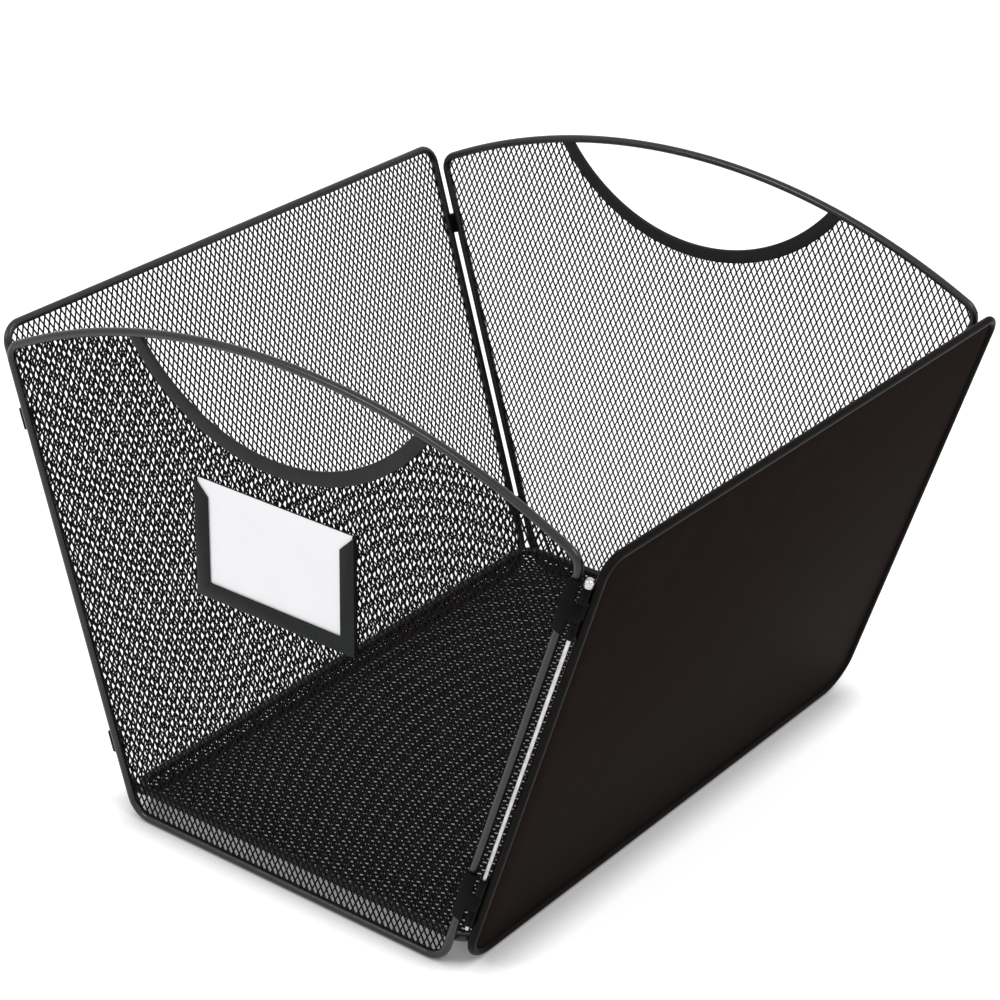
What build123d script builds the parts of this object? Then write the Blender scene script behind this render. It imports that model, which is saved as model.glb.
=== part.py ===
from build123d import *
import math
import os

# A desktop tub for letter-size folders. Two mesh side panels with arched tops stand between a solid
# front panel and a mesh back panel, around a raised mesh floor. Every panel is a sheet inside a loop
# of bent wire. Each front corner is a pair of barrel hinges on one long headed rod, so the side
# panels swing outward; at the rear they rest in catches on the back frame's uprights.
#
# X runs across the tub, from the near side (-X, with the label) to the far side. The front panel
# faces -Y. The origin is on the desk, under the middle of the tub.

# Wire loops and sheets. The round wire is drawn with eight flats, 4 mm across.
WIRE = 4.0
WIRE_FLATS = 8
SHEET = 1.0

# Side panels: a trapezoid capped by a shallow arch, given on the wire's centreline
TUB_WIDTH = 320.0
FOOT_DEPTH = 186.8
ARCH_TOP = 265.7
ARCH_RADIUS = 349.0
LEAN = 17.0
SIDE_LOW_CORNER = 12.0
SIDE_TOP_CORNER = 8.0

# Front and back panels
PANEL_FOOT = 3.2
PANEL_LOW_CORNER = 17.0
PANEL_TOP_CORNER = 9.0
FRONT_WIDTH = 315.6
FRONT_TOP = 228.0
FRONT_SETBACK = 9.7
BACK_WIDTH = 312.6
BACK_TOP = 232.4
BACK_SETBACK = 4.4

# Raised floor
FLOOR_HEIGHT = 13.0
FLOOR_WIDTH = 310.4
FLOOR_CORNER = 10.0

# Handle opening: a flat band on an arc hung below the arch
BAND_RADIUS = 101.5
BAND_LOW = 215.2
BAND_WIDTH = 7.0
BAND_THICKNESS = 2.0
BAND_GRIP = 3.5

# Expanded mesh, drawn nine times coarser than the metal's own 3.45 by 6.9 mm diamonds
DIAMOND_WIDTH = 31.05
DIAMOND_HEIGHT = 62.1
STRAND = 6.0
SELVAGE = 2.0
SMALLEST_GAP = 30.0

# Hinges on the front corners. The rolled knuckles are drawn with sixteen flats.
ROD = 2.0
ROD_OUTSET = 1.0
ROD_SETBACK = 6.7
ROD_TAIL = 3.5
ROD_HEAD = 4.2
ROD_HEAD_HEIGHT = 4.0
ROD_HEAD_BEVEL = 1.0
ROD_HEAD_GAP = 0.1
BARREL = 4.0
BARREL_FLATS = 16
BORE_CLEARANCE = 0.08
KNUCKLE_GAP = 0.3
HINGE_LENGTH = 27.6
LOWER_HINGE = 29.3
UPPER_HINGE = 198.1
LEAF = 1.0
LEAF_NOTCH = 3.0
LEAF_CORNER = 1.2
SIDE_LEAF_REACH = 9.0
FRONT_LEAF_REACH = 11.0

# Catches on the back frame
CATCH_STRIP = 1.0
CATCH_CLEARANCE = 0.35
CATCH_LENGTH = 10.0
CATCH_MOUTH = 1.2
LOWER_CATCH = 31.0
UPPER_CATCH = 194.0

# Label holder and card
LABEL_WIDTH = 91.6
LABEL_HEIGHT = 58.4
LABEL_CENTRE_Z = 168.9
LABEL_PLATE = 0.7
LABEL_LIP = 8.0
LABEL_WALL = 1.3
POCKET_DEPTH = 1.2
LIP_THICKNESS = 0.6
CARD_THICKNESS = 0.5
CARD_CLEARANCE = 0.2

# Worked out from the above
lean_cos = math.cos(math.radians(LEAN))
lean_sin = math.sin(math.radians(LEAN))
wire_radius = WIRE / 2
wire_ridge = wire_radius / math.cos(math.pi / WIRE_FLATS)
foot_half = FOOT_DEPTH / 2
side_x = TUB_WIDTH / 2
# The front panel stands further off the side panels than the taller back does. Their own middle lies
# behind the middle of the tub, so that both top edges reach equally far.
side_middle = (FRONT_SETBACK - BACK_SETBACK + (FRONT_TOP - BACK_TOP) * lean_sin) / (2 * lean_cos)


def height_along(z, setback):
    """Distance up a leaning panel, from its foot line, at which it reaches the height z."""
    return (z - wire_radius + setback * lean_sin) / lean_cos


def floor_edge(setback):
    """How far in front of the side panels' middle the raised floor's wire meets a leaning sheet."""
    contact = setback - SHEET / 2 - wire_ridge
    return foot_half + (contact + (FLOOR_HEIGHT - wire_radius) * lean_sin) / lean_cos


near_plane = Plane(origin=(-side_x, side_middle, 0), x_dir=(0, 1, 0), z_dir=(1, 0, 0))
front_plane = Plane(
    origin=(0, side_middle - foot_half - FRONT_SETBACK * lean_cos, wire_radius - FRONT_SETBACK * lean_sin),
    x_dir=(1, 0, 0),
    z_dir=(0, -lean_cos, -lean_sin),
)
back_plane = Plane(
    origin=(0, side_middle + foot_half + BACK_SETBACK * lean_cos, wire_radius - BACK_SETBACK * lean_sin),
    x_dir=(-1, 0, 0),
    z_dir=(0, lean_cos, -lean_sin),
)


def rod_plane(along):
    """Section across the near hinge rod: X inward, Y rearward, Z up the rod."""
    place = Vector(-side_x - ROD_OUTSET, side_middle - foot_half, wire_radius)
    place += Vector(0, -lean_cos, -lean_sin) * ROD_SETBACK
    place += Vector(0, -lean_sin, lean_cos) * along
    return Plane(origin=place, x_dir=(1, 0, 0), z_dir=(0, -lean_sin, lean_cos))


def rear_plane(along):
    """Section across the near side frame's rear upright: X inward, Y rearward, Z up the upright."""
    place = Vector(-side_x, side_middle + foot_half, wire_radius)
    place += Vector(0, lean_sin, lean_cos) * along
    return Plane(origin=place, x_dir=(1, 0, 0), z_dir=(0, lean_sin, lean_cos))


def side_outline(inset=0.0):
    """Side panel's outline, inset from the wire's centreline."""
    top_half = foot_half + ARCH_TOP * lean_sin / lean_cos
    with BuildSketch(near_plane) as outline:
        Polygon(
            (-foot_half, wire_radius),
            (foot_half, wire_radius),
            (top_half, wire_radius + ARCH_TOP),
            (-top_half, wire_radius + ARCH_TOP),
            align=None,
        )
        with Locations((0, ARCH_TOP - ARCH_RADIUS)):
            Circle(ARCH_RADIUS, mode=Mode.INTERSECT)
        fillet(outline.vertices().group_by(Axis.Y)[0], SIDE_LOW_CORNER)
        fillet(outline.vertices().sort_by(Axis.Y)[-2:], SIDE_TOP_CORNER)
        if inset:
            offset(amount=-inset, mode=Mode.REPLACE)
    return outline


def panel_outline(plane, width, top, setback, inset=0.0):
    """Front or back panel's outline, inset from the wire's centreline."""
    low = height_along(PANEL_FOOT, setback)
    high = height_along(top, setback)
    with BuildSketch(plane) as outline:
        with Locations((0, (low + high) / 2)):
            Rectangle(width, high - low)
        fillet(outline.vertices().group_by(Axis.Y)[0], PANEL_LOW_CORNER)
        fillet(outline.vertices().sort_by(Axis.Y)[-2:], PANEL_TOP_CORNER)
        if inset:
            offset(amount=-inset, mode=Mode.REPLACE)
    return outline


def floor_outline(inset=0.0):
    """Raised floor's outline, inset from the wire's centreline."""
    front = side_middle - floor_edge(FRONT_SETBACK)
    back = side_middle + floor_edge(BACK_SETBACK)
    with BuildSketch(Plane.XY.offset(FLOOR_HEIGHT)) as outline:
        with Locations((0, (front + back) / 2)):
            Rectangle(FLOOR_WIDTH, back - front)
        fillet(outline.vertices(), FLOOR_CORNER)
        if inset:
            offset(amount=-inset, mode=Mode.REPLACE)
    return outline


def flatted_round(radius, flats):
    """Polygon about a circle, with flats facing along and across its section."""
    return RegularPolygon(radius, flats, major_radius=False, rotation=180 / flats)


def wire_loop(outline):
    """Closed loop of wire along an outline, with flats square to the panel and towards its middle."""
    panel = outline.sketch.face()
    path = panel.outer_wire()
    with BuildPart() as loop:
        with BuildSketch(Plane(origin=path @ 0, x_dir=panel.normal_at(), z_dir=path % 0)):
            flatted_round(wire_radius, WIRE_FLATS)
        sweep(path=path)
    return loop


def diamond_places(columns, rows):
    """Centres of staggered diamonds: every other row is shifted by half a diamond."""
    places = []
    for row in range(-rows, rows + 1):
        shift = DIAMOND_WIDTH / 2 if row % 2 else 0.0
        for column in range(-columns, columns + 1):
            places.append((column * DIAMOND_WIDTH + shift, row * DIAMOND_HEIGHT / 2))
    return places


def mesh_sheet(plane, sheet, border, middle, reach):
    """Sheet with diamond gaps in staggered rows, left whole along its border."""
    half_width = DIAMOND_WIDTH / 2
    half_height = DIAMOND_HEIGHT / 2
    side_distance = half_width * half_height / math.hypot(half_width, half_height)
    shrink = 1 - STRAND / 2 / side_distance
    columns = math.ceil(reach[0] / DIAMOND_WIDTH)
    rows = math.ceil(reach[1] / half_height)
    with BuildSketch(plane) as gaps:
        with Locations(*[(middle[0] + x, middle[1] + y) for x, y in diamond_places(columns, rows)]):
            Polygon(
                (half_width * shrink, 0),
                (0, half_height * shrink),
                (-half_width * shrink, 0),
                (0, -half_height * shrink),
                align=None,
            )
        add(border.sketch_local, mode=Mode.INTERSECT)
    with BuildPart() as mesh:
        with BuildSketch(plane.offset(-SHEET / 2)):
            add(sheet.sketch_local)
            add([gap for gap in gaps.sketch_local.faces() if gap.area > SMALLEST_GAP], mode=Mode.SUBTRACT)
        extrude(amount=SHEET)
    return mesh


def below_arc(inset, radius):
    """Side panel's outline, inset from the wire, less everything within an arc about the handle's centre."""
    with BuildSketch(near_plane) as outline:
        add(side_outline(inset).sketch_local)
        with Locations((0, BAND_LOW + BAND_RADIUS)):
            Circle(radius, mode=Mode.SUBTRACT)
    return outline


def handle_band():
    """Flat band round the handle opening, folded over the mesh's cut edge."""
    centre = (0, BAND_LOW + BAND_RADIUS)
    with BuildPart() as band:
        with BuildSketch(near_plane.offset(-BAND_THICKNESS / 2)):
            add(side_outline(wire_radius).sketch_local)
            with Locations(centre):
                Circle(BAND_RADIUS + BAND_WIDTH / 2, mode=Mode.INTERSECT)
                Circle(BAND_RADIUS - BAND_WIDTH / 2, mode=Mode.SUBTRACT)
        extrude(amount=BAND_THICKNESS)
        with BuildSketch(near_plane.offset(-SHEET / 2)):
            with Locations(centre):
                Circle(BAND_RADIUS + BAND_WIDTH)
                Circle(BAND_RADIUS + BAND_WIDTH / 2 - BAND_GRIP, mode=Mode.SUBTRACT)
        extrude(amount=SHEET, mode=Mode.SUBTRACT)
    return band


def side_leaf(low):
    """Hinge leaf on the outer face of the side frame, with the middle knuckle."""
    knuckle = HINGE_LENGTH / 3
    plate_middle = -BARREL / 2 + LEAF / 2
    with BuildPart() as leaf:
        with BuildSketch(rod_plane(low)):
            with Locations((plate_middle, LEAF_NOTCH)):
                Rectangle(LEAF, SIDE_LEAF_REACH - LEAF_NOTCH, align=(Align.CENTER, Align.MIN))
        extrude(amount=HINGE_LENGTH)
        section = rod_plane(low)
        free_corners = leaf.edges().filter_by(Axis.X).sort_by(Axis(section.origin, section.y_dir))[-2:]
        chamfer(free_corners, LEAF_CORNER)
        with BuildSketch(rod_plane(low + knuckle)):
            flatted_round(BARREL / 2, BARREL_FLATS)
            with Locations((plate_middle, 0)):
                Rectangle(LEAF, LEAF_NOTCH, align=(Align.CENTER, Align.MIN))
            Circle(ROD / 2 + BORE_CLEARANCE, mode=Mode.SUBTRACT)
        extrude(amount=knuckle)
    return leaf


def front_leaf(low):
    """Hinge leaf on the rear face of the front frame, with the two outer knuckles."""
    knuckle = HINGE_LENGTH / 3
    plate_middle = ROD_SETBACK + wire_radius - FRONT_SETBACK + LEAF / 2
    with BuildPart() as leaf:
        with BuildSketch(rod_plane(low)):
            with Locations((LEAF_NOTCH, plate_middle)):
                Rectangle(FRONT_LEAF_REACH - LEAF_NOTCH, LEAF, align=(Align.MIN, Align.CENTER))
        extrude(amount=HINGE_LENGTH)
        section = rod_plane(low)
        across = Axis(section.origin, section.y_dir)
        free_corners = leaf.edges().filter_by(across).group_by(Axis.X)[-1]
        chamfer(free_corners, LEAF_CORNER)
        for start in (low, low + 2 * knuckle + KNUCKLE_GAP):
            with BuildSketch(rod_plane(start)):
                flatted_round(BARREL / 2, BARREL_FLATS)
                with Locations((0, plate_middle)):
                    Rectangle(LEAF_NOTCH, LEAF, align=(Align.MIN, Align.CENTER))
                Circle(ROD / 2 + BORE_CLEARANCE, mode=Mode.SUBTRACT)
            extrude(amount=knuckle - KNUCKLE_GAP)
    return leaf


def hinge_rod():
    """Headed rod through both hinges of a front corner; it lifts out by its head."""
    tail = LOWER_HINGE - ROD_TAIL
    head = UPPER_HINGE + HINGE_LENGTH + ROD_HEAD_GAP
    with BuildPart() as rod:
        with BuildSketch(rod_plane(tail)):
            Circle(ROD / 2)
        extrude(amount=head - tail)
        with BuildSketch(rod_plane(head)):
            Circle(ROD_HEAD / 2)
        extrude(amount=ROD_HEAD_HEIGHT)
        rim = rod.edges().filter_by(GeomType.CIRCLE).sort_by(Axis.Z)[-1]
        chamfer(rim, ROD_HEAD_BEVEL)
    return rod


def catch(low):
    """Strip clipped round the back frame's upright, hooked behind the side frame's own upright."""
    back_x = side_x - BACK_WIDTH / 2
    cradle = wire_radius + CATCH_CLEARANCE
    with BuildPart() as strip:
        with BuildSketch(rear_plane(low)):
            Circle(cradle + CATCH_STRIP)
            Rectangle(2 * WIRE, 2 * WIRE, align=Align.MIN, mode=Mode.INTERSECT)
            with Locations((back_x, BACK_SETBACK)):
                Circle(wire_ridge + CATCH_STRIP)
            Circle(cradle, mode=Mode.SUBTRACT)
            with Locations((back_x, BACK_SETBACK)):
                Circle(wire_ridge, mode=Mode.SUBTRACT)
            with Locations((back_x + CATCH_MOUTH, BACK_SETBACK)):
                Rectangle(WIRE, 2 * WIRE, align=(Align.MIN, Align.CENTER), mode=Mode.SUBTRACT)
        extrude(amount=CATCH_LENGTH)
    return strip


def label_plane(depth):
    """Plane facing outward from the near side's mesh, centred on the label holder."""
    place = (-side_x - SHEET / 2 - depth, side_middle, LABEL_CENTRE_Z)
    return Plane(origin=place, x_dir=(0, -1, 0), z_dir=(-1, 0, 0))


os.makedirs("parts", exist_ok=True)


def keep(piece, name):
    """Label a finished piece and write it as the node of that name."""
    piece.part.label = name
    export_step(piece.part, f"parts/{name}.step")


def keep_far(piece, name):
    """Write a near piece's mirror image as a piece of the far side."""
    with BuildPart() as far_piece:
        mirror(piece.part, about=Plane.YZ)
    keep(far_piece, name)


# Side panels: wire loop, mesh and handle band
near_side_frame = wire_loop(side_outline())
keep(near_side_frame, "near_side_frame")
keep_far(near_side_frame, "far_side_frame")

band_outer = BAND_RADIUS + BAND_WIDTH / 2
near_side_mesh = mesh_sheet(
    near_plane,
    below_arc(wire_radius, band_outer - BAND_GRIP),
    below_arc(wire_radius + SELVAGE, band_outer),
    (0, 120),
    (180, 140),
)
keep(near_side_mesh, "near_side_mesh")
keep_far(near_side_mesh, "far_side_mesh")

near_handle_band = handle_band()
keep(near_handle_band, "near_handle_band")
keep_far(near_handle_band, "far_handle_band")

# Front panel: wire loop and solid sheet
front_frame = wire_loop(panel_outline(front_plane, FRONT_WIDTH, FRONT_TOP, FRONT_SETBACK))
keep(front_frame, "front_frame")

with BuildPart() as front_sheet:
    with BuildSketch(front_plane.offset(-SHEET / 2)):
        add(panel_outline(front_plane, FRONT_WIDTH, FRONT_TOP, FRONT_SETBACK, wire_radius).sketch_local)
    extrude(amount=SHEET)
keep(front_sheet, "front_sheet")

# Back panel: wire loop and mesh
back_frame = wire_loop(panel_outline(back_plane, BACK_WIDTH, BACK_TOP, BACK_SETBACK))
keep(back_frame, "back_frame")

back_mesh = mesh_sheet(
    back_plane,
    panel_outline(back_plane, BACK_WIDTH, BACK_TOP, BACK_SETBACK, wire_radius),
    panel_outline(back_plane, BACK_WIDTH, BACK_TOP, BACK_SETBACK, wire_radius + SELVAGE),
    (0, 125),
    (170, 130),
)
keep(back_mesh, "back_mesh")

# Raised floor: wire loop and mesh
base_frame = wire_loop(floor_outline())
keep(base_frame, "base_frame")

base_mesh = mesh_sheet(
    Plane.XY.offset(FLOOR_HEIGHT),
    floor_outline(wire_radius),
    floor_outline(wire_radius + SELVAGE),
    (0, 0),
    (170, 110),
)
keep(base_mesh, "base_mesh")

# Front corners: two hinges on one rod
for position, low in (("lower", LOWER_HINGE), ("upper", UPPER_HINGE)):
    leaf_on_side = side_leaf(low)
    keep(leaf_on_side, f"near_{position}_side_leaf")
    keep_far(leaf_on_side, f"far_{position}_side_leaf")
    leaf_on_front = front_leaf(low)
    keep(leaf_on_front, f"near_{position}_front_leaf")
    keep_far(leaf_on_front, f"far_{position}_front_leaf")

near_hinge_rod = hinge_rod()
keep(near_hinge_rod, "near_hinge_rod")
keep_far(near_hinge_rod, "far_hinge_rod")

# Rear corners: two catches on the back frame
for position, low in (("lower", LOWER_CATCH), ("upper", UPPER_CATCH)):
    strip = catch(low)
    keep(strip, f"near_{position}_catch")
    keep_far(strip, f"far_{position}_catch")

# Label holder: a plate with lips on three sides, open at the top, on the near side's mesh
with BuildPart() as label_holder:
    with BuildSketch(label_plane(0)):
        Rectangle(LABEL_WIDTH, LABEL_HEIGHT)
    extrude(amount=LABEL_PLATE + POCKET_DEPTH + LIP_THICKNESS)
    with BuildSketch(label_plane(LABEL_PLATE)):
        with Locations((0, LABEL_HEIGHT / 2)):
            Rectangle(
                LABEL_WIDTH - 2 * LABEL_WALL,
                LABEL_HEIGHT - LABEL_WALL,
                align=(Align.CENTER, Align.MAX),
            )
    extrude(amount=POCKET_DEPTH, mode=Mode.SUBTRACT)
    with BuildSketch(label_plane(LABEL_PLATE + POCKET_DEPTH)):
        inner = LABEL_WIDTH / 2 - LABEL_LIP
        top = LABEL_HEIGHT / 2
        # The side lips end in a mitre, which leaves the card's top corners bare.
        Polygon(
            (-inner, LABEL_LIP - top),
            (inner, LABEL_LIP - top),
            (inner, top - LABEL_LIP),
            (LABEL_WIDTH / 2, top),
            (-LABEL_WIDTH / 2, top),
            (-inner, top - LABEL_LIP),
            align=None,
        )
    extrude(amount=LIP_THICKNESS, mode=Mode.SUBTRACT)
keep(label_holder, "label_holder")

# Label card, which slides up out of the holder
card_width = LABEL_WIDTH - 2 * LABEL_WALL - 2 * CARD_CLEARANCE
with BuildPart() as label_card:
    with BuildSketch(label_plane(LABEL_PLATE + (POCKET_DEPTH - CARD_THICKNESS) / 2)):
        with Locations((0, LABEL_HEIGHT / 2)):
            Rectangle(card_width, LABEL_HEIGHT - LABEL_WALL, align=(Align.CENTER, Align.MAX))
    extrude(amount=CARD_THICKNESS)
keep(label_card, "label_card")
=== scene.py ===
import math

import bmesh
import bpy
from mathutils import Matrix, Vector


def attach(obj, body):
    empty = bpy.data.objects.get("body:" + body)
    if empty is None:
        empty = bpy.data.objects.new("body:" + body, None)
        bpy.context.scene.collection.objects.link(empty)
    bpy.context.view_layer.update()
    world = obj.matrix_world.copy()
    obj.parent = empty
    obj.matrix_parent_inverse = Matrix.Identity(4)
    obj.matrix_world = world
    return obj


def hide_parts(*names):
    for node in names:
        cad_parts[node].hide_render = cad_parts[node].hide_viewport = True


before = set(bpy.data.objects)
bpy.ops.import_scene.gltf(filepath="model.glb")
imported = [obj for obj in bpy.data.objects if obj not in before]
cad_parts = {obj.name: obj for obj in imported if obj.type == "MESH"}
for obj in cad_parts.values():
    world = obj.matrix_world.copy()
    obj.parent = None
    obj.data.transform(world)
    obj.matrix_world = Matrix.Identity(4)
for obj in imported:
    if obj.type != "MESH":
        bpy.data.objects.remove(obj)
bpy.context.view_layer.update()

# The tub's own sizes, in metres. Each panel is drawn flat, across and up, and stood in its plane.
LEAN = math.radians(17.0)
WIRE_RADIUS = 0.002
FOOT_HALF = 0.0934
SIDE_X = 0.160
SIDE_REACH = 0.160
SIDE_LOW_CORNER = 0.012
SIDE_TOP_CORNER = 0.008
ARCH_TOP = 0.2657
ARCH_RADIUS = 0.349
PANEL_FOOT = 0.0032
PANEL_LOW_CORNER = 0.017
PANEL_TOP_CORNER = 0.009
FRONT_HALF = 0.1578
FRONT_TOP = 0.228
FRONT_SETBACK = 0.0097
BACK_HALF = 0.1563
BACK_TOP = 0.2324
BACK_SETBACK = 0.0044
FLOOR_HEIGHT = 0.013
FLOOR_HALF = 0.1552
FLOOR_CORNER = 0.010
BAND_RADIUS = 0.1015
BAND_CENTRE = 0.3167
BAND_HALF_WIDTH = 0.0035
BAND_HALF_THICKNESS = 0.001
BAND_EASE = 0.0008
BAND_REACH = math.radians(53.6)
BAND_GRIP = 0.0004
DIAMOND_WIDTH = 0.00345
DIAMOND_HEIGHT = 0.0069
STRAND_HALF = 0.00029
FLOOR_STRAND_HALF = 0.00062
SHEET_THICKNESS = 0.0006
ROD_OUTSET = 0.001
ROD_SETBACK = 0.0067
ROD_TAIL_AT = 0.0258
ROD_HEAD_AT = 0.2258
ROD_HEAD_HEIGHT = 0.004
ROD_RADIUS = 0.001
ROD_HEAD_RADIUS = 0.0021
ROD_DOME = 0.0013

# The solids' own stand-ins that the pieces here are set against.
SOLID_WIRE_FLATS = 8
SOLID_SHEET_HALF = 0.0005

# How far the sharp edges of the sheet-metal pieces are eased.
HOLDER_EASE = 0.00022
CARD_EASE = 0.00008
SHEET_EASE = 0.0002
FITTING_EASE = 0.00018

# How finely the round stretches are drawn.
WIRE_SIDES = 20
ROD_SIDES = 32
BEND_STEPS = 12
ARCH_STEPS = 48
BAND_STEPS = 56
DOME_STEPS = 6
CORNER_CUTS = 3
ARCH_CUTS = 14

lean_cos = math.cos(LEAN)
lean_sin = math.sin(LEAN)
side_middle = (FRONT_SETBACK - BACK_SETBACK + (FRONT_TOP - BACK_TOP) * lean_sin) / (2 * lean_cos)


# Placing and finishing meshes


def standing(origin, across, normal):
    """Matrix that stands a flat drawing, across and up, in a panel's plane."""
    across = Vector(across).normalized()
    normal = Vector(normal).normalized()
    up = normal.cross(across)
    turn = Matrix((across, up, normal)).transposed().to_4x4()
    return Matrix.Translation(origin) @ turn


near_stand = standing((-SIDE_X, side_middle, 0), (0, 1, 0), (1, 0, 0))
far_stand = standing((SIDE_X, side_middle, 0), (0, -1, 0), (-1, 0, 0))
front_foot = (
    0,
    side_middle - FOOT_HALF - FRONT_SETBACK * lean_cos,
    WIRE_RADIUS - FRONT_SETBACK * lean_sin,
)
front_stand = standing(front_foot, (1, 0, 0), (0, -lean_cos, -lean_sin))
back_foot = (
    0,
    side_middle + FOOT_HALF + BACK_SETBACK * lean_cos,
    WIRE_RADIUS - BACK_SETBACK * lean_sin,
)
back_stand = standing(back_foot, (-1, 0, 0), (0, lean_cos, -lean_sin))
floor_stand = standing((0, 0, FLOOR_HEIGHT), (1, 0, 0), (0, 0, 1))


def finish_piece(bm, name, material, body, replaced, place=None, smooth=True):
    """Stand a finished mesh in its place of a solid, with its material, riding on its body."""
    if place is not None:
        bmesh.ops.transform(bm, matrix=place, verts=bm.verts[:])
    bmesh.ops.recalc_face_normals(bm, faces=bm.faces[:])
    for face in bm.faces:
        face.smooth = smooth
    mesh = bpy.data.meshes.new(name)
    bm.to_mesh(mesh)
    bm.free()
    mesh.materials.append(material)
    piece = bpy.data.objects.new(name, mesh)
    bpy.context.scene.collection.objects.link(piece)
    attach(piece, body)
    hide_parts(replaced)


# Shader maths


class Value:
    """A shader socket that adds its Math nodes through plain arithmetic."""

    def __init__(self, graph, socket):
        self.graph = graph
        self.socket = socket

    def _with(self, operation, first, second):
        made = self.graph.node("ShaderNodeMath", {"operation": operation}, {0: first, 1: second})
        return made.value()

    def __add__(self, other):
        return self._with("ADD", self, other)

    def __radd__(self, other):
        return self._with("ADD", other, self)

    def __sub__(self, other):
        return self._with("SUBTRACT", self, other)

    def __mul__(self, other):
        return self._with("MULTIPLY", self, other)

    def __pow__(self, other):
        return self._with("POWER", self, other)


class Made:
    """A node just made, with its outputs as values."""

    def __init__(self, graph, node):
        self.graph = graph
        self.node = node

    def value(self, name=0):
        return Value(self.graph, self.node.outputs[name])


class Graph:
    """A new material's node tree."""

    def __init__(self, name):
        self.material = bpy.data.materials.new(name)
        self.material.use_nodes = True
        self.tree = self.material.node_tree
        self.shader = self.tree.nodes["Principled BSDF"]

    def node(self, kind, settings=None, inputs=None):
        """Add a node: its settings first, then the values or links of its sockets."""
        node = self.tree.nodes.new(kind)
        for name, setting in (settings or {}).items():
            if name == "stops":
                ramp = node.color_ramp.elements
                while len(ramp) < len(setting):
                    ramp.new(0.5)
                for element, (position, colour) in zip(ramp, setting):
                    element.position = position
                    element.color = (*colour, 1)
            else:
                setattr(node, name, setting)
        for name, given in (inputs or {}).items():
            self.feed(node.inputs[name], given)
        return Made(self, node)

    def feed(self, socket, given):
        if isinstance(given, Value):
            self.tree.links.new(given.socket, socket)
        else:
            socket.default_value = given

    def set(self, **sockets):
        """Set or link the main shader's sockets, with underscores for spaces."""
        for name, given in sockets.items():
            self.feed(self.shader.inputs[name.replace("_", " ")], given)

    def place(self):
        return self.node("ShaderNodeTexCoord").value("Object")

    def noise(self, scale, detail, roughness=0.5, place=None):
        inputs = {
            "Vector": place or self.place(),
            "Scale": scale,
            "Detail": detail,
            "Roughness": roughness,
        }
        return self.node("ShaderNodeTexNoise", {}, inputs).value(0)

    def ramp(self, factor, stops):
        return self.node("ShaderNodeValToRGB", {"stops": stops}, {"Fac": factor}).value("Color")

    def bump(self, height, distance):
        inputs = {"Height": height, "Distance": distance, "Strength": 1.0}
        return self.node("ShaderNodeBump", {}, inputs).value("Normal")


# Materials

# Where the darker and paler colours of a mottled finish lie along its noise.
DARK_STOP = 0.3
PALE_STOP = 0.7
PEEL_DEPTH = 0.00003
FIBRE_DEPTH = 0.00002
DRAWN_DEPTH = 0.00001


def mottled(graph, factor, dark, pale):
    """Colour that wanders between two shades of a finish."""
    return graph.ramp(factor, [(DARK_STOP, dark), (PALE_STOP, pale)])


def powder_coat(name, dark, pale, rough, gloss):
    """Black powder coat: fine orange peel, faint mottling and a soft sheen."""
    graph = Graph(name)
    mottle = graph.noise(scale=70, detail=4)
    grain = graph.noise(scale=1500, detail=2)
    graph.set(
        Base_Color=mottled(graph, mottle * 0.7 + grain * 0.3, dark, pale),
        Roughness=rough + (grain - 0.5) * 0.12 + (mottle - 0.5) * 0.1,
        Normal=graph.bump(grain + graph.noise(scale=620, detail=3) * 1.5, PEEL_DEPTH),
        Specular_IOR_Level=gloss,
        Metallic=0.0,
    )
    return graph.material


def bright_steel(name):
    """Zinc-plated steel, drawn lengthwise."""
    graph = Graph(name)
    stretch = {"Vector": graph.place(), "Scale": (1, 0.08, 0.08)}
    streaks = graph.node("ShaderNodeMapping", {}, stretch).value()
    drawn = graph.noise(scale=2600, detail=3, place=streaks)
    graph.set(
        Base_Color=mottled(graph, drawn, dark=(0.40, 0.38, 0.39), pale=(0.60, 0.58, 0.59)),
        Roughness=0.24 + drawn * 0.14,
        Metallic=1.0,
        Normal=graph.bump(drawn, DRAWN_DEPTH),
    )
    return graph.material


def white_card(name):
    """Smooth white card with a trace of fibre."""
    graph = Graph(name)
    fibre = graph.noise(scale=900, detail=5, roughness=0.65)
    cloud = graph.noise(scale=45, detail=2)
    blend = fibre * 0.5 + cloud * 0.5
    graph.set(
        Base_Color=mottled(graph, blend, dark=(0.84, 0.83, 0.86), pale=(0.88, 0.87, 0.89)),
        Roughness=0.62 + (fibre - 0.5) * 0.2,
        Specular_IOR_Level=0.35,
        Normal=graph.bump(fibre, FIBRE_DEPTH),
    )
    return graph.material


wire_black = powder_coat(
    "satin black wire", dark=(0.008, 0.008, 0.008), pale=(0.014, 0.014, 0.014), rough=0.27, gloss=0.4
)
mesh_black = powder_coat(
    "black expanded mesh",
    dark=(0.0050, 0.0042, 0.0040),
    pale=(0.0090, 0.0076, 0.0072),
    rough=0.42,
    gloss=0.03,
)
# The front frame is the same black wire as the rest. This copy's darker colour is painted shade, and
# its lower gloss makes it duller.
painted_shade_front_black = powder_coat(
    "black front wire with painted shade",
    dark=(0.0045, 0.0038, 0.0036),
    pale=(0.0085, 0.0072, 0.0068),
    rough=0.36,
    gloss=0.03,
)
band_black = powder_coat(
    "satin black handle band",
    dark=(0.013, 0.013, 0.0125),
    pale=(0.021, 0.021, 0.020),
    rough=0.36,
    gloss=0.12,
)
sheet_black = powder_coat(
    "matte black front sheet",
    dark=(0.0085, 0.0054, 0.0045),
    pale=(0.0125, 0.0084, 0.0071),
    rough=0.5,
    gloss=0.004,
)
fitting_black = powder_coat(
    "black hinge fittings",
    dark=(0.003, 0.003, 0.003),
    pale=(0.006, 0.006, 0.006),
    rough=0.36,
    gloss=0.02,
)
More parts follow.
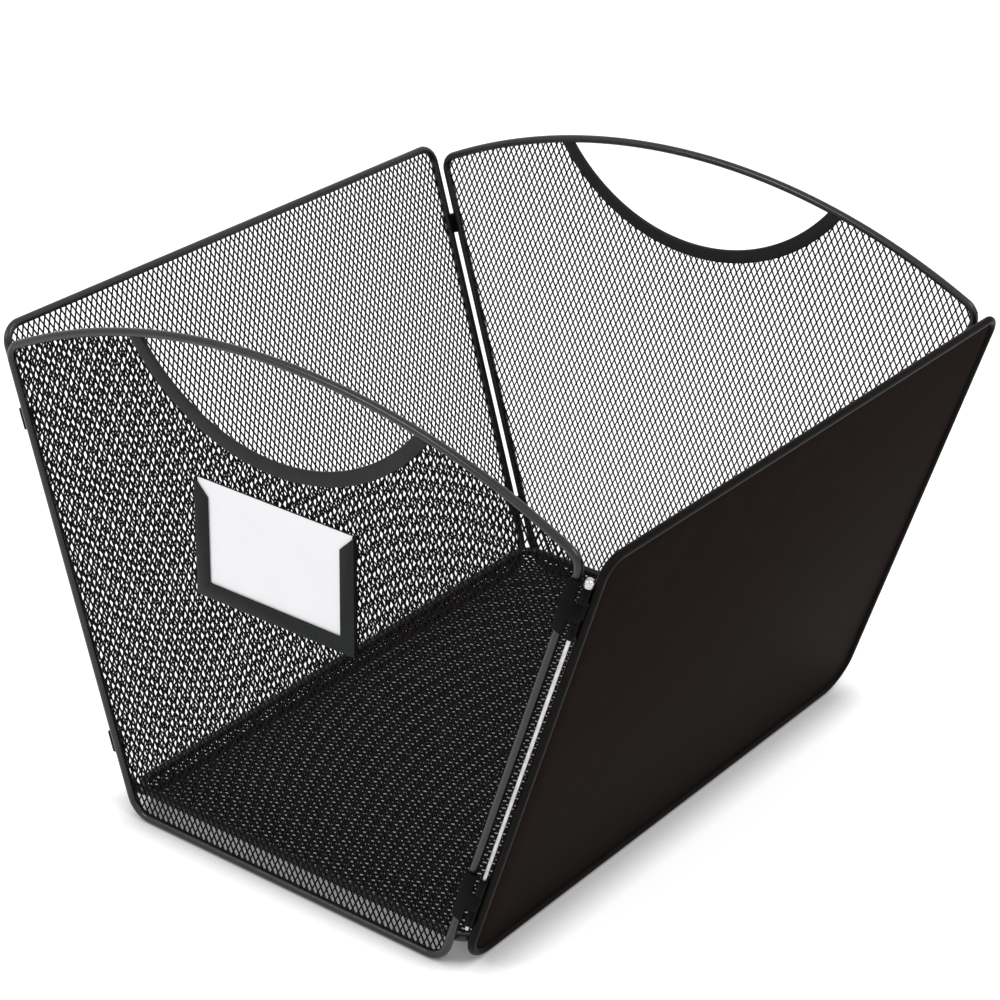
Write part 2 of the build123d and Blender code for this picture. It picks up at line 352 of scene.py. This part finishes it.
holder_black = powder_coat(
    "black label holder",
    dark=(0.009, 0.0105, 0.010),
    pale=(0.015, 0.0165, 0.016),
    rough=0.38,
    gloss=0.08,
)
rod_steel = bright_steel("bright hinge rod")
card_white = white_card("blank white card")


# Bent wire

WELD_DISTANCE = 0.00002
QUARTER = math.pi / 2


def new_verts(geometry):
    return [item for item in geometry if isinstance(item, bmesh.types.BMVert)]


def new_edges(geometry):
    return [item for item in geometry if isinstance(item, bmesh.types.BMEdge)]


def bent_wire(start, heading, path):
    """Loop of round wire in the flat: runs are extruded and bends are spun, always leftward."""
    bm = bmesh.new()
    made = bmesh.ops.create_circle(bm, cap_ends=False, segments=WIRE_SIDES, radius=WIRE_RADIUS)
    place = Vector((*start, 0))
    way = Vector((math.cos(heading), math.sin(heading), 0))
    turn = Matrix((way.cross(Vector((0, 0, 1))), Vector((0, 0, 1)), way)).transposed().to_4x4()
    bmesh.ops.transform(bm, matrix=Matrix.Translation(place) @ turn, verts=made["verts"])
    ring = bm.edges[:]
    for step in path:
        if step[0] == "run":
            grown = bmesh.ops.extrude_edge_only(bm, edges=ring)["geom"]
            ring = new_edges(grown)
            bmesh.ops.translate(bm, vec=way * step[1], verts=new_verts(grown))
            place = place + way * step[1]
        else:
            radius, angle, steps = step[1:]
            middle = place + Vector((-way.y, way.x, 0)) * radius
            spun = bmesh.ops.spin(
                bm,
                geom=ring + list({vert for edge in ring for vert in edge.verts}),
                cent=middle,
                axis=(0, 0, 1),
                angle=angle,
                steps=steps,
                use_duplicate=False,
            )
            ring = new_edges(spun["geom_last"])
            turn = Matrix.Rotation(angle, 3, "Z")
            place = middle + turn @ (place - middle)
            way = turn @ way
    bmesh.ops.remove_doubles(bm, verts=bm.verts[:], dist=WELD_DISTANCE)
    return bm


def rectangle_path(half_width, low, high, low_corner, top_corner):
    """Start, heading and steps round a rounded rectangle, from its first low corner's end."""
    upright = ("run", high - low - low_corner - top_corner)
    low_bend = ("bend", low_corner, QUARTER, BEND_STEPS)
    top_bend = ("bend", top_corner, QUARTER, BEND_STEPS)
    steps = [
        ("run", 2 * (half_width - low_corner)),
        low_bend,
        upright,
        top_bend,
        ("run", 2 * (half_width - top_corner)),
        top_bend,
        upright,
        low_bend,
    ]
    return (-half_width + low_corner, low), 0.0, steps


side_low_along = SIDE_LOW_CORNER * (1 - lean_sin) / lean_cos
side_low_centre = FOOT_HALF + side_low_along * lean_sin - SIDE_LOW_CORNER * lean_cos


def side_path():
    """Start, heading and steps round the arched side: foot, one edge, arch and other edge."""
    arch_centre = ARCH_TOP - ARCH_RADIUS
    # The top bend's centre lies one bend radius inside both the edge and the arch.
    base_up = WIRE_RADIUS + SIDE_TOP_CORNER * lean_sin - arch_centre
    base = Vector((FOOT_HALF - SIDE_TOP_CORNER * lean_cos, base_up))
    edge = Vector((lean_sin, lean_cos))
    reach = ARCH_RADIUS - SIDE_TOP_CORNER
    half_b = base.dot(edge)
    top_along = -half_b + math.sqrt(half_b * half_b - base.dot(base) + reach * reach)
    centre = base + edge * top_along
    slope = math.atan2(centre.x, centre.y)
    upright = ("run", top_along - side_low_along)
    low_bend = ("bend", SIDE_LOW_CORNER, QUARTER - LEAN, BEND_STEPS)
    top_bend = ("bend", SIDE_TOP_CORNER, QUARTER + LEAN - slope, BEND_STEPS)
    steps = [
        ("run", 2 * side_low_centre),
        low_bend,
        upright,
        top_bend,
        ("bend", ARCH_RADIUS, 2 * slope, ARCH_STEPS),
        top_bend,
        upright,
        low_bend,
    ]
    return (-side_low_centre, WIRE_RADIUS), 0.0, steps


def height_along(z, setback):
    """Distance up a leaning panel at which it reaches the height z."""
    return (z - WIRE_RADIUS + setback * lean_sin) / lean_cos


def floor_edge(setback):
    """How far from the side panels' middle the floor's wire meets a leaning sheet."""
    floor_ridge = WIRE_RADIUS / math.cos(math.pi / SOLID_WIRE_FLATS)
    painted_contact_shade = setback - SOLID_SHEET_HALF - floor_ridge
    return FOOT_HALF + (painted_contact_shade + (FLOOR_HEIGHT - WIRE_RADIUS) * lean_sin) / lean_cos


front_low = height_along(PANEL_FOOT, FRONT_SETBACK)
front_high = height_along(FRONT_TOP, FRONT_SETBACK)
back_low = height_along(PANEL_FOOT, BACK_SETBACK)
back_high = height_along(BACK_TOP, BACK_SETBACK)
floor_low = side_middle - floor_edge(FRONT_SETBACK)
floor_high = side_middle + floor_edge(BACK_SETBACK)

# Each panel's half width, low and high edges, and low and top corners.
front_outline = (FRONT_HALF, front_low, front_high, PANEL_LOW_CORNER, PANEL_TOP_CORNER)
back_outline = (BACK_HALF, back_low, back_high, PANEL_LOW_CORNER, PANEL_TOP_CORNER)
floor_outline = (FLOOR_HALF, floor_low, floor_high, FLOOR_CORNER, FLOOR_CORNER)
side_stands = (("near", near_stand), ("far", far_stand))

for edge_name, place in side_stands:
    side = edge_name + "_side"
    side_wire = bent_wire(*side_path())
    finish_piece(side_wire, side + "_wire", wire_black, side, side + "_frame", place)

for panel, outline, material, place in (
    ("front", front_outline, painted_shade_front_black, front_stand),
    ("back", back_outline, wire_black, back_stand),
    ("base", floor_outline, wire_black, floor_stand),
):
    panel_wire = bent_wire(*rectangle_path(*outline))
    finish_piece(
        panel_wire, panel + "_wire", material, "tub", panel + "_frame", place
    )


# Expanded mesh

CUT_DISTANCE = 0.000001
LOW_CORNER_TILTS = (-75, -52, -30)


def expanded_sheet(half_width, low, high, cuts, hollow=None, strand_half=STRAND_HALF):
    """Flat sheet of staggered diamonds. Each cut is a point and an outward direction."""
    bm = bmesh.new()
    middle = (low + high) / 2
    count = math.ceil(2 * half_width / DIAMOND_WIDTH + (high - low) / DIAMOND_HEIGHT) + 4
    bmesh.ops.create_grid(bm, x_segments=count, y_segments=count, size=count / 2)
    eighth_turn = Matrix.Rotation(math.pi / 4, 3, "Z")
    bmesh.ops.rotate(bm, cent=(0, 0, 0), matrix=eighth_turn, verts=bm.verts[:])
    diagonal = math.sqrt(0.5)
    stretch = (DIAMOND_WIDTH * diagonal, DIAMOND_HEIGHT * diagonal, 1)
    bmesh.ops.scale(bm, vec=stretch, verts=bm.verts[:])
    bmesh.ops.translate(bm, vec=(0, middle, 0), verts=bm.verts[:])

    def beyond(face):
        spot = face.calc_center_median()
        if abs(spot.x) > half_width + DIAMOND_WIDTH:
            return True
        if abs(spot.y - middle) > (high - low) / 2 + DIAMOND_HEIGHT:
            return True
        return hollow is not None and hollow(spot)

    outside = [face for face in bm.faces if beyond(face)]
    bmesh.ops.delete(bm, geom=outside, context="FACES")
    diamonds = bm.faces[:]
    bmesh.ops.inset_individual(bm, faces=diamonds, thickness=strand_half, use_even_offset=True)
    bmesh.ops.delete(bm, geom=diamonds, context="FACES_ONLY")
    for point, outward in cuts:
        bmesh.ops.bisect_plane(
            bm,
            geom=bm.verts[:] + bm.edges[:] + bm.faces[:],
            dist=CUT_DISTANCE,
            plane_co=(*point, 0),
            plane_no=(*outward, 0),
            clear_outer=True,
        )
    loose = [vert for vert in bm.verts if not vert.link_faces]
    bmesh.ops.delete(bm, geom=loose, context="VERTS")
    bmesh.ops.solidify(bm, geom=bm.faces[:], thickness=SHEET_THICKNESS)
    heights = [vert.co.z for vert in bm.verts]
    bmesh.ops.translate(bm, vec=(0, 0, -(min(heights) + max(heights)) / 2), verts=bm.verts[:])
    return bm


def tangent_cut(centre, radius, angle):
    """Cut that touches a circle at an angle: its point and its outward direction."""
    outward = (math.cos(angle), math.sin(angle))
    return (centre[0] + outward[0] * radius, centre[1] + outward[1] * radius), outward


def corner_cuts(centre, radius, first, last, count):
    """Tangent cuts round a rounded corner, from one direction to another."""
    spread = (last - first) / count
    return [tangent_cut(centre, radius, first + spread * (step + 0.5)) for step in range(count)]


def rectangle_cuts(half_width, low, high, low_corner, top_corner):
    """Cuts along a rounded rectangle."""
    cuts = [
        ((-half_width, 0), (-1, 0)),
        ((half_width, 0), (1, 0)),
        ((0, low), (0, -1)),
        ((0, high), (0, 1)),
    ]
    low_x, top_x = half_width - low_corner, half_width - top_corner
    low_y, top_y = low + low_corner, high - top_corner
    for centre, radius, first in (
        ((low_x, low_y), low_corner, -QUARTER),
        ((-low_x, low_y), low_corner, -2 * QUARTER),
        ((top_x, top_y), top_corner, 0),
        ((-top_x, top_y), top_corner, QUARTER),
    ):
        cuts += corner_cuts(centre, radius, first, first + QUARTER, CORNER_CUTS)
    return cuts


def side_cuts():
    """Cuts along the side's foot, edges, low corners and arch, on the wire's centreline."""
    cuts = [((0, WIRE_RADIUS), (0, -1))]
    for sign in (-1, 1):
        cuts.append(((sign * FOOT_HALF, WIRE_RADIUS), (sign * lean_cos, -lean_sin)))
        centre = (sign * side_low_centre, WIRE_RADIUS + SIDE_LOW_CORNER)
        for tilt in LOW_CORNER_TILTS:
            angle = math.radians(tilt if sign > 0 else 180 - tilt)
            cuts.append(tangent_cut(centre, SIDE_LOW_CORNER, angle))
    arch_centre = (0, ARCH_TOP - ARCH_RADIUS)
    first, last = math.radians(60), math.radians(120)
    cuts += corner_cuts(arch_centre, ARCH_RADIUS, first, last, ARCH_CUTS)
    return cuts


def in_handle(spot):
    """True for a diamond that would stand in the handle opening, above the band's middle."""
    return math.hypot(spot.x, spot.y - BAND_CENTRE) < BAND_RADIUS + BAND_GRIP


def hang_net(net, panel, body, place):
    """Finish a net in place of its panel's coarse one."""
    name = panel + "_expanded_mesh"
    finish_piece(net, name, mesh_black, body, panel + "_mesh", place, smooth=False)


for edge_name, place in side_stands:
    side = edge_name + "_side"
    side_net = expanded_sheet(SIDE_REACH, WIRE_RADIUS, ARCH_TOP, side_cuts(), in_handle)
    hang_net(side_net, side, side, place)

for panel, outline, strand_half, place in (
    ("back", back_outline, STRAND_HALF, back_stand),
    ("base", floor_outline, FLOOR_STRAND_HALF, floor_stand),
):
    panel_net = expanded_sheet(*outline[:3], rectangle_cuts(*outline), strand_half=strand_half)
    hang_net(panel_net, panel, "tub", place)


# Handle bands


def folded_band():
    """Flat strip over the mesh's edge: a rounded profile spun round the handle's centre."""
    bm = bmesh.new()
    made = bmesh.ops.create_grid(bm, x_segments=1, y_segments=1, size=1)
    bmesh.ops.scale(bm, vec=(BAND_HALF_WIDTH, BAND_HALF_THICKNESS, 1), verts=made["verts"])
    bmesh.ops.bevel(
        bm,
        geom=bm.verts[:],
        offset=BAND_EASE,
        offset_type="OFFSET",
        segments=4,
        profile=0.5,
        affect="VERTICES",
        material=-1,
    )
    # The profile stands across the strip, at one end of its arc.
    stand_up = Matrix.Rotation(QUARTER, 3, "X")
    to_end = Matrix.Rotation(-QUARTER - BAND_REACH, 3, "Z")
    bmesh.ops.rotate(bm, cent=(0, 0, 0), matrix=stand_up, verts=bm.verts[:])
    bmesh.ops.translate(bm, vec=(BAND_RADIUS, 0, 0), verts=bm.verts[:])
    bmesh.ops.rotate(bm, cent=(0, 0, 0), matrix=to_end, verts=bm.verts[:])
    bmesh.ops.spin(
        bm,
        geom=bm.verts[:] + bm.edges[:] + bm.faces[:],
        cent=(0, 0, 0),
        axis=(0, 0, 1),
        angle=2 * BAND_REACH,
        steps=BAND_STEPS,
        use_duplicate=False,
    )
    bmesh.ops.translate(bm, vec=(0, BAND_CENTRE, 0), verts=bm.verts[:])
    return bm


for edge_name, place in side_stands:
    band_name = edge_name + "_folded_band"
    solid_band = edge_name + "_handle_band"
    side = edge_name + "_side"
    finish_piece(folded_band(), band_name, band_black, side, solid_band, place)


# Sheet-metal pieces with eased edges

SOLID_WELD = 0.000002
FLAT_ANGLE = math.radians(1)
SHARP_ANGLE = math.radians(35)
CREASE_ANGLE = math.radians(30)


def eased(node, name, material, body, radius, segments=2):
    """A solid of the frame with its sharp edges eased, as bent and stamped sheet has."""
    bm = bmesh.new()
    bm.from_mesh(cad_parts[node].data)
    bmesh.ops.remove_doubles(bm, verts=bm.verts[:], dist=SOLID_WELD)
    bmesh.ops.dissolve_limit(
        bm,
        angle_limit=FLAT_ANGLE,
        use_dissolve_boundaries=False,
        verts=bm.verts[:],
        edges=bm.edges[:],
    )
    sharp = [edge for edge in bm.edges if edge.is_manifold and edge.calc_face_angle(0) > SHARP_ANGLE]
    bmesh.ops.bevel(
        bm,
        geom=sharp,
        offset=radius,
        offset_type="OFFSET",
        segments=segments,
        profile=0.5,
        affect="EDGES",
        clamp_overlap=True,
        material=-1,
    )
    bmesh.ops.triangulate(bm, faces=[face for face in bm.faces if len(face.verts) > 4])
    for edge in bm.edges:
        edge.smooth = edge.is_manifold and edge.calc_face_angle(0) < CREASE_ANGLE
    finish_piece(bm, name, material, body, node)


def eased_fitting(node, name, body):
    eased(node, name, fitting_black, body, FITTING_EASE)


eased(
    "label_holder", "stamped_label_holder", holder_black, "near_side", HOLDER_EASE
)
eased("label_card", "blank_label_card", card_white, "card", CARD_EASE, segments=1)
eased("front_sheet", "front_panel_sheet", sheet_black, "tub", SHEET_EASE)

for edge_name, _ in side_stands:
    for level in ("upper", "lower"):
        corner = f"{edge_name}_{level}_"
        eased_fitting(corner + "front_leaf", corner + "rolled_front_leaf", "tub")
        eased_fitting(corner + "side_leaf", corner + "rolled_side_leaf", edge_name + "_side")
        eased_fitting(corner + "catch", corner + "folded_catch", "tub")


# Hinge rods

ROD_CREASE_ANGLE = math.radians(50)


def turned_rod(profile, place):
    """Rod turned from a profile of heights and radii, from its tail up to its domed head."""
    bm = bmesh.new()
    tail_height, tail_radius = profile[0]
    made = bmesh.ops.create_circle(bm, cap_ends=True, segments=ROD_SIDES, radius=tail_radius)
    rim = made["verts"]
    bmesh.ops.translate(bm, vec=(0, 0, tail_height), verts=rim)
    ring = bm.edges[:]
    for (height, radius), (next_height, next_radius) in zip(profile, profile[1:]):
        grown = bmesh.ops.extrude_edge_only(bm, edges=ring)["geom"]
        rim = new_verts(grown)
        ring = new_edges(grown)
        growth = next_radius / radius
        bmesh.ops.translate(bm, vec=(0, 0, next_height - height), verts=rim)
        bmesh.ops.scale(bm, vec=(growth, growth, 1), verts=rim)
    bmesh.ops.contextual_create(bm, geom=rim)
    for edge in bm.edges:
        if len(edge.link_faces) == 2 and edge.calc_face_angle(0) > ROD_CREASE_ANGLE:
            edge.smooth = False
    bmesh.ops.transform(bm, matrix=place, verts=bm.verts[:])
    return bm


def rod_profile():
    """Heights and radii up the rod: rounded tail, shaft and domed head."""
    profile = [
        (ROD_TAIL_AT, 0.6 * ROD_RADIUS),
        (ROD_TAIL_AT + 0.0002, 0.9 * ROD_RADIUS),
        (ROD_TAIL_AT + 0.0005, ROD_RADIUS),
        (ROD_HEAD_AT, ROD_RADIUS),
        (ROD_HEAD_AT, ROD_HEAD_RADIUS - 0.0002),
        (ROD_HEAD_AT + 0.0002, ROD_HEAD_RADIUS),
    ]
    for step in range(DOME_STEPS + 1):
        angle = math.radians(80 * step / DOME_STEPS)
        height = ROD_HEAD_AT + ROD_HEAD_HEIGHT - ROD_DOME + ROD_DOME * math.sin(angle)
        profile.append((height, ROD_HEAD_RADIUS - ROD_DOME + ROD_DOME * math.cos(angle)))
    return profile


rod_foot = Vector((-SIDE_X - ROD_OUTSET, side_middle - FOOT_HALF, WIRE_RADIUS))
rod_foot += Vector((0, -lean_cos, -lean_sin)) * ROD_SETBACK
for edge_name, mirror in (("near", 1), ("far", -1)):
    foot = (rod_foot.x * mirror, rod_foot.y, rod_foot.z)
    rod = turned_rod(rod_profile(), standing(foot, (1, 0, 0), (0, -lean_sin, lean_cos)))
    rod_name = edge_name + "_turned_rod"
    solid_rod = edge_name + "_hinge_rod"
    finish_piece(rod, rod_name, rod_steel, edge_name + "_rod", solid_rod)


# Floor, light and camera

GROUND_HALF = 6
# The floor's painted contact shadow: how far the ambient occlusion reaches, how steeply it falls,
# and the grey it paints beside the tub.
PAINTED_SHADE_REACH = 0.022
PAINTED_SHADE_FALL = 1.3
PAINTED_SHADE_GREY = (0.25, 0.25, 0.25)
OPEN_WHITE = (0.90, 0.90, 0.90)
GROUND_GLOW = 0.46
AMBIENT = 0.68
IMAGE_PIXELS = 1000
SENSOR_WIDTH = 36


def pale_floor():
    """Pale floor that reads as white and keeps the tub's shadow; near the tub, ambient occlusion
    darkens its colour and glow as a painted contact shadow.
    """
    bm = bmesh.new()
    bmesh.ops.create_grid(bm, x_segments=1, y_segments=1, size=GROUND_HALF)
    mesh = bpy.data.meshes.new("pale_floor")
    bm.to_mesh(mesh)
    bm.free()
    graph = Graph("pale floor")
    rays = graph.node("ShaderNodeLightPath")
    mirrored = rays.value("Is Glossy Ray") + rays.value("Is Transmission Ray")
    seen = rays.value("Is Camera Ray") + mirrored
    # Ambient occlusion darkens the floor's colour and glow next to the tub: painted contact shadow.
    shade = graph.node("ShaderNodeAmbientOcclusion", {"samples": 8}, {"Distance": PAINTED_SHADE_REACH})
    painted_contact_shade = shade.value("AO") ** PAINTED_SHADE_FALL
    graph.set(
        Base_Color=graph.ramp(painted_contact_shade, [(0.0, PAINTED_SHADE_GREY), (0.95, OPEN_WHITE)]),
        Roughness=0.9,
        Specular_IOR_Level=0.0,
        Emission_Color=seen * painted_contact_shade * GROUND_GLOW,
        Emission_Strength=1.0,
    )
    mesh.materials.append(graph.material)
    floor = bpy.data.objects.new("pale_floor", mesh)
    bpy.context.scene.collection.objects.link(floor)


def white_world():
    """White to the eye and in reflections, and a plain ambient light for everything else."""
    world = bpy.data.worlds.new("white room")
    bpy.context.scene.world = world
    world.use_nodes = True
    tree = world.node_tree
    rays = tree.nodes.new("ShaderNodeLightPath")
    mirrored = tree.nodes.new("ShaderNodeMath")
    mirrored.operation = "ADD"
    tree.links.new(rays.outputs["Is Glossy Ray"], mirrored.inputs[0])
    tree.links.new(rays.outputs["Is Transmission Ray"], mirrored.inputs[1])
    seen = tree.nodes.new("ShaderNodeMath")
    seen.operation = "ADD"
    tree.links.new(rays.outputs["Is Camera Ray"], seen.inputs[0])
    tree.links.new(mirrored.outputs[0], seen.inputs[1])
    strength = tree.nodes.new("ShaderNodeMapRange")
    tree.links.new(seen.outputs[0], strength.inputs["Value"])
    strength.inputs["To Min"].default_value = AMBIENT
    strength.inputs["To Max"].default_value = 1.0
    background = tree.nodes["Background"]
    background.inputs["Color"].default_value = (1, 1, 1, 1)
    tree.links.new(strength.outputs["Result"], background.inputs["Strength"])


def soft_light(name, place, aim, size, power):
    """Square area light turned towards a point."""
    data = bpy.data.lights.new(name, "AREA")
    data.size = size
    data.energy = power
    light = bpy.data.objects.new(name, data)
    light.location = place
    light.rotation_euler = (Vector(aim) - Vector(place)).to_track_quat("-Z", "Y").to_euler()
    bpy.context.scene.collection.objects.link(light)


def photo_camera():
    """Camera at the photograph's place: off the near front corner and above the rims."""
    azimuth, elevation, roll = math.radians(-53.006), math.radians(26.22), math.radians(1.054)
    distance = 1.37255
    focal_pixels = 2885.0
    aim_back, aim_height = 0.00054, 0.1631
    target = Vector((0, side_middle + aim_back, aim_height))
    level = math.cos(elevation)
    out = Vector((math.sin(azimuth) * level, -math.cos(azimuth) * level, math.sin(elevation)))
    right = (-out).cross(Vector((0, 0, 1))).normalized()
    up = right.cross(-out)
    turned_right = right * math.cos(roll) + up * math.sin(roll)
    turned_up = up * math.cos(roll) - right * math.sin(roll)
    turn = Matrix((turned_right, turned_up, out)).transposed().to_4x4()
    data = bpy.data.cameras.new("photo camera")
    data.sensor_width = SENSOR_WIDTH
    data.lens = focal_pixels / IMAGE_PIXELS * SENSOR_WIDTH
    data.shift_y = -0.05
    data.clip_start = 0.05
    data.clip_end = 50
    camera = bpy.data.objects.new("photo camera", data)
    camera.matrix_world = Matrix.Translation(target + out * distance) @ turn
    bpy.context.scene.collection.objects.link(camera)
    bpy.context.scene.camera = camera


pale_floor()
white_world()
soft_light("key from the front", place=(-0.1, -1.7, 2.4), aim=(0, 0, 0.1), size=1.4, power=30)
soft_light("sheen from the left", place=(-1.75, 0.85, 1.65), aim=(0, 0, 0.26), size=0.8, power=16)
photo_camera()
bpy.context.scene.view_settings.view_transform = "Standard"
